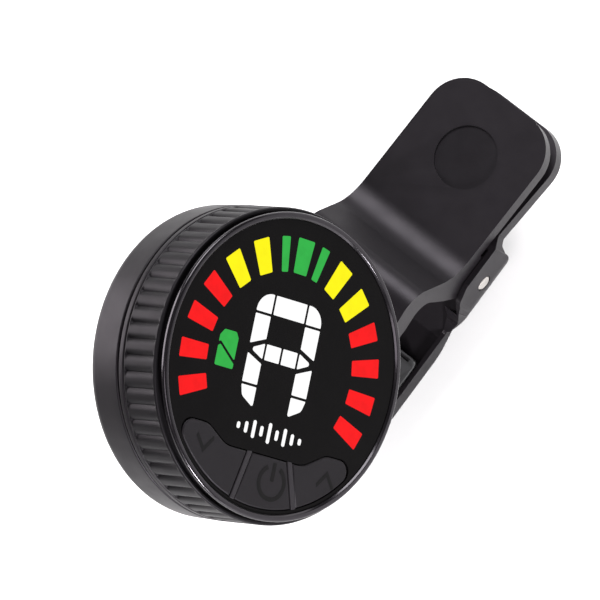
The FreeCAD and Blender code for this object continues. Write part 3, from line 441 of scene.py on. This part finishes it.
def bevel_marked(mesh):
    """The mesh with merged faces, and a bevel weight on the edges that are to be rounded."""
    made = bmesh.new()
    made.from_mesh(mesh)
    bmesh.ops.remove_doubles(made, verts=made.verts, dist=WELD_DISTANCE)
    bmesh.ops.dissolve_limit(made, angle_limit=FLAT_ANGLE, verts=made.verts, edges=made.edges)
    weight = made.edges.layers.float.new("bevel_weight_edge")
    for edge in made.edges:
        if len(edge.link_faces) == 2 and edge.calc_face_angle() > BEVEL_ANGLE:
            edge[weight] = float(min(face.calc_area() for face in edge.link_faces) > SMALLEST_BEVELLED_FACE)
    made.to_mesh(mesh)
    made.free()
    return finished(mesh)


def evaluated_mesh(thing):
    """The mesh of an object with its modifiers applied."""
    graph = bpy.context.evaluated_depsgraph_get()
    return bpy.data.meshes.new_from_object(thing.evaluated_get(graph))


def polished(node, width, rides=True):
    """A copy of a CAD node with merged faces and rounded edges, which stands for the node."""
    draft = bpy.data.objects.new("draft", bevel_marked(NODES[node].data.copy()))
    SCENE.collection.objects.link(draft)
    if width:
        bevel = draft.modifiers.new("edges", "BEVEL")
        bevel.width = width * MM
        bevel.segments = 3
        bevel.limit_method = "WEIGHT"
        bevel.use_clamp_overlap = True
        bevel.miter_outer = "MITER_ARC"
    shading = draft.modifiers.new("shading", "WEIGHTED_NORMAL")
    shading.keep_sharp = True
    shaped = evaluated_mesh(draft)
    bpy.data.objects.remove(draft)
    piece = add_piece(node + "_shaped", shaped, body_of(node) if rides else None, SLOT_OF[node])
    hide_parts(node)
    return piece


def body_of(node):
    """The body that a CAD node belongs to."""
    return next(body for body, members in frame["record"]["behaviour"]["bodies"].items() if node in members)


# ---------------------------------------------------------------- head

def make_grip_ring():
    """Soft ribs round the head with narrow grooves, and a step inside their front end."""
    insets = (0.0, 0.04, 0.12, RIM_WIDTH, 0.28, 0.34, 0.40, 0.46, RIM_WIDTH + RUN_IN)
    rows = [RIB_BACK + inset for inset in insets] + [RIB_FRONT - inset for inset in reversed(insets)]
    count = RIB_COUNT * POINTS_PER_RIB
    made = bmesh.new()
    loops = [turned_loop(made, height, count, lambda index: ribbed_radius(index, height)) for height in rows]
    for radius, height in ((STEP_RADIUS, RIB_FRONT), (STEP_RADIUS, STEP_BACK), (RIB_INNER, STEP_BACK),
                           (RIB_INNER, RIB_BACK)):
        loops.append(turned_loop(made, height, count, lambda index: radius))
    join_loops(made, zip(loops, loops[1:] + loops[:1]))
    piece = add_piece("grip_ribs", closed_mesh("grip_ribs", made, HEAD), "display", "grip_plastic")
    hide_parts("grip_ring")
    cut_port(piece)


def ribbed_radius(index, height):
    """The ring's radius: plain at its rounded rims, and ribbed between them."""
    from_end = min(height - RIB_BACK, RIB_FRONT - height)
    ease = RIM_EASE * max(0.0, 1.0 - from_end / RIM_WIDTH) ** 2
    share = min(1.0, max(0.0, (from_end - RIM_WIDTH) / RUN_IN))
    fade = share * share * (3 - 2 * share)
    phase = (index % POINTS_PER_RIB) / POINTS_PER_RIB
    return HEAD_RADIUS - ease - RIB_DEPTH * fade * groove_shape(phase)


def groove_shape(phase):
    """How deep the surface lies within one pitch: 1 in the narrow groove, 0 on the broad rib."""
    offset = abs(phase - 0.5) * 2
    return (1.0 - min(1.0, offset / GROOVE_SHARE)) ** GROOVE_POWER


def cut_port(piece):
    """The round-ended opening of the charging port through the right-hand side."""
    low, high = PORT_MIDDLE - PORT_HALF_HIGH, PORT_MIDDLE + PORT_HALF_HIGH
    radius = PORT_HALF_HIGH - 0.01
    outline = corner_points([
        (-PORT_HALF_LONG, low, radius), (PORT_HALF_LONG, low, radius),
        (PORT_HALF_LONG, high, radius), (-PORT_HALF_LONG, high, radius),
    ], 10)
    sideways = HEAD @ Matrix(((0, 0, 1, 0), (1, 0, 0, 0), (0, 1, 0, 0), (0, 0, 0, 1)))
    cutter = bpy.data.objects.new("cutter", slab_mesh("cutter", outline, 12.0, 18.5, place=sideways))
    SCENE.collection.objects.link(cutter)
    cut = piece.modifiers.new("port", "BOOLEAN")
    cut.object = cutter
    cut.solver = "EXACT"
    opened = evaluated_mesh(piece)
    piece.modifiers.clear()
    piece.data = finished(opened)
    bpy.data.objects.remove(cutter)


def make_bezel():
    """The polished lip round the lens, with its shadow groove behind and an inner chamfer."""
    inner, neck = LENS_RADIUS + 0.05, LIP_RADIUS - 0.35
    mesh = turned_mesh("bezel_lip", [
        (inner, LIP_BACK), (neck, LIP_BACK), (neck, GROOVE_FRONT), (LIP_RADIUS, GROOVE_FRONT, 0.1),
        (LIP_RADIUS, LIP_FRONT, 0.26), (inner + 0.18, LIP_FRONT, 0.1), (inner, LIP_FRONT - 0.2, 0.04),
    ], 360)
    piece = add_piece("bezel_lip", mesh, "display", "bezel_plastic")
    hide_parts("bezel")


def arc_outline(centre, radius, first, last):
    """Points on an arc from one angle to another, in degrees."""
    points = []
    steps = 40
    for step in range(steps + 1):
        angle = math.radians(first + (last - first) * step / steps)
        points.append(centre + Vector((math.cos(angle), math.sin(angle))) * radius)
    return points


def add_sign(name, outline, key):
    """A thin printed sign on the front of a key."""
    mesh = slab_mesh(name, outline, KEY_FRONT - SIGN_SUNK, KEY_FRONT + SIGN_PROUD)
    add_piece(name, mesh, key, "key_plastic", ICON_INK)


def arrow_outline(centre, points_up):
    """An open arrow head that points up or down."""
    half, rise, thick = 1.08, 0.66, 0.42
    sign = 1 if points_up else -1
    corners = [(-half, -rise * sign), (0, rise * sign), (half, -rise * sign),
               (half + thick * 0.4, (thick - rise) * sign), (0, (rise + thick * 1.6) * sign),
               (-half - thick * 0.4, (thick - rise) * sign)]
    outline = [centre + Vector(corner) for corner in corners]
    return outline[::-1] if points_up else outline


def make_icons():
    """The signs on the three keys: down, up and power."""
    add_sign("key_down_sign", arrow_outline(Vector((-8.4, -9.65)), False), "key_down")
    add_sign("key_up_sign", arrow_outline(Vector((8.9, -10.6)), True), "key_up")
    centre, outer, inner = Vector((1.62, -12.1)), 2.0, 1.5
    first, last = 90 + 28, 450 - 28
    around = arc_outline(centre, outer, first, last) + arc_outline(centre, inner, last, first)
    add_sign("key_power_ring", around, "key_power")
    left, right, foot, top = centre.x - 0.25, centre.x + 0.25, centre.y + 0.1, centre.y + 2.15
    corners = [(x, y, 0.15) for x, y in ((left, foot), (right, foot), (right, top), (left, top))]
    add_sign("key_power_stroke", corner_points(corners, 4), "key_power")


# ---------------------------------------------------------------- putting it together

for node, thing in NODES.items():
    thing.data.materials.clear()
    thing.data.materials.append(LOOKS[SLOT_OF[node]])

make_grip_ring()
make_bezel()
make_icons()
for node, width in {
    "upper_lever": 0.6, "lower_lever": 0.4, "neck_fork": 0.35, "rear_shell": 0.12, "display_housing": 0.06,
    "upper_jaw_pad": 0.12, "lower_jaw_pad": 0.12, "tilt_pin": 0.05, "pivot_pin": 0.05,
    "key_down": 0.0, "key_power": 0.0, "key_up": 0.0, "key_ridges": 0.08,
}.items():
    polished(node, width)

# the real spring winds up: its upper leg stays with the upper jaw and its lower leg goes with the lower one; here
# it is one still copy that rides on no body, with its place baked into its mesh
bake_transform(polished("torsion_spring", 0.0, rides=False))


# ---------------------------------------------------------------- stage, lights and camera

def make_floor():
    """A plain pale sheet under the clip."""
    half, height = 3.0, cad_box[0][2] - 0.1 * MM
    mesh = bpy.data.meshes.new("floor")
    mesh.from_pydata([(-half, -half, height), (half, -half, height), (half, half, height),
                      (-half, half, height)], [], [(0, 1, 2, 3)])
    floor = bpy.data.objects.new("floor", mesh)
    SCENE.collection.objects.link(floor)
    made = Material("floor_paper", Roughness=0.85, Specular_IOR_Level=0.2)
    fibre = made.noise(60.0, 5.0, 0.6)
    made.set("Base Color", made.ramp(fibre, [(0.3, (0.86, 0.86, 0.86)), (0.7, (0.90, 0.90, 0.90))]))
    made.set("Normal", made.bump(made.noise(1500.0), 0.1, 0.00004))
    mesh.materials.append(made.data)


WHITE = (1.0, 1.0, 1.0)
ROSE = (1.0, 0.945, 0.975)


def soft_light(name, at, size, power, colour):
    """A square area light at a place, looking at the middle of the view."""
    lamp = bpy.data.lights.new(name, "AREA")
    lamp.size = size
    lamp.energy = power
    lamp.color = colour
    holder = bpy.data.objects.new(name, lamp)
    SCENE.collection.objects.link(holder)
    holder.location = at
    holder.rotation_euler = (VIEW_CENTRE - at).to_track_quat("-Z", "Y").to_euler()


VIEW_BACK = Vector((0.3746, 0.0650, 0.9250)).normalized()
VIEW_RIGHT = Vector((0.7306, 0.5940, -0.3375)).normalized()
VIEW_UP = VIEW_BACK.cross(VIEW_RIGHT).normalized()
VIEW_CENTRE = VIEW_RIGHT * (-0.34 * MM) + VIEW_UP * (6.32 * MM)
FIELD = 65.06 * MM
DISTANCE = 0.85
SENSOR = 36.0


def make_camera():
    """A long lens at the viewing angle of the clip as it sits on a headstock."""
    data = bpy.data.cameras.new("camera")
    data.sensor_width = SENSOR
    data.lens = SENSOR * DISTANCE / FIELD
    data.clip_start = 0.01
    data.clip_end = 20
    camera = bpy.data.objects.new("camera", data)
    SCENE.collection.objects.link(camera)
    turn = Matrix((VIEW_RIGHT, VIEW_UP, VIEW_BACK)).transposed().to_4x4()
    camera.matrix_world = Matrix.Translation(VIEW_CENTRE + VIEW_BACK * DISTANCE) @ turn
    SCENE.camera = camera


def seen_from_camera(right, up, back):
    """A place given in the camera's directions, in metres from the middle of the view."""
    return VIEW_CENTRE + VIEW_RIGHT * right + VIEW_UP * up + VIEW_BACK * back


def make_lights():
    """Two broad lights, a small one for the lip's highlight, one that whitens the floor, and a dim sky."""
    soft_light("side_light", seen_from_camera(-0.42, 0.13, -0.04), 0.30, 2.2, ROSE)
    soft_light("top_light", seen_from_camera(-0.03, 0.44, 0.23), 0.30, 4.0, WHITE)
    soft_light("low_light", seen_from_camera(0.12, -0.40, 0.27), 0.08, 5.6, WHITE)
    soft_light("floor_light", Vector((0.35, -0.25, 0.75)), 0.40, 3.0, ROSE)
    world = bpy.data.worlds.new("studio")
    world.use_nodes = True
    background = world.node_tree.nodes["Background"]
    background.inputs["Color"].default_value = (0.95, 0.95, 0.97, 1)
    background.inputs["Strength"].default_value = 0.18
    SCENE.world = world


make_floor()
make_camera()
make_lights()
SCENE.view_settings.view_transform = "Standard"
